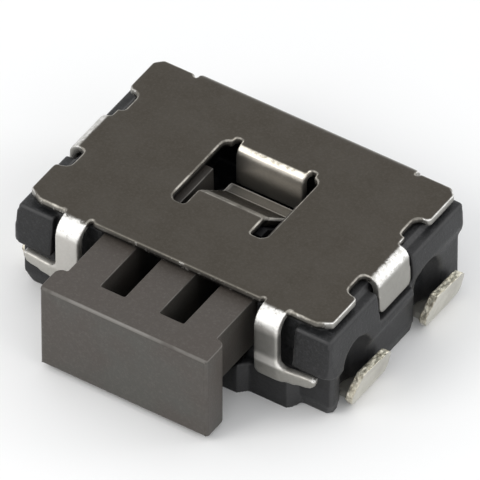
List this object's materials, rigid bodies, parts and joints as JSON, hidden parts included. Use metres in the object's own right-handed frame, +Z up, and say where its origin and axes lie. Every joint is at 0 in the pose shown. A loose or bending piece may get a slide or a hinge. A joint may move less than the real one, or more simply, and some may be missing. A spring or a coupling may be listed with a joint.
{
  "type": "tactile switch",
  "caption": "Low surface-mount tactile switch pressed from the side, with a black body, a stamped steel cover, a wide grey push button and turned-up solder terminals.",
  "frame": {"origin": "middle of the body's plan on the board plane, under the flat underside", "axes": "+Y from the push face into the body, along the button's travel; +Z up away from the board; +X to the right of someone who looks at the push face from behind it, along +Y"},
  "size_m": [0.0052, 0.0045, 0.0016],
  "materials": {
    "body_plastic": "black glass-filled resin, slightly rough",
    "button_plastic": "dark grey resin, satin",
    "pusher_plastic": "black resin, satin",
    "cover_steel": "dull rolled stainless sheet with brighter bends",
    "dome_steel": "bright spring steel",
    "terminal_plate": "brass strip plated with dull tin or silver"
  },
  "bodies": {
    "base": {"housing": "body_plastic", "cover": "cover_steel", "front_contact": "terminal_plate", "rear_contact": "terminal_plate", "snap_dome": "dome_steel"},
    "button": {"push_button": "button_plastic"},
    "wedge": {"pusher": "pusher_plastic"}
  },
  "joints": [
    {"name": "button_slide", "type": "slide", "parent": "base", "child": "button", "axis": [0, 1, 0], "range_m": [0, 0.00018], "stiffness_N_per_m": 8500, "springref_m": -0.00001, "deforming": ["snap_dome"]},
    {"name": "pusher_slide", "type": "slide", "parent": "base", "child": "wedge", "axis": [0, 0.7716, -0.6361], "range_m": [0, 0.00023377]}
  ],
  "couplings": [
    {"joint": "pusher_slide", "follows": "button_slide", "ratio": 1.296}
  ]
}
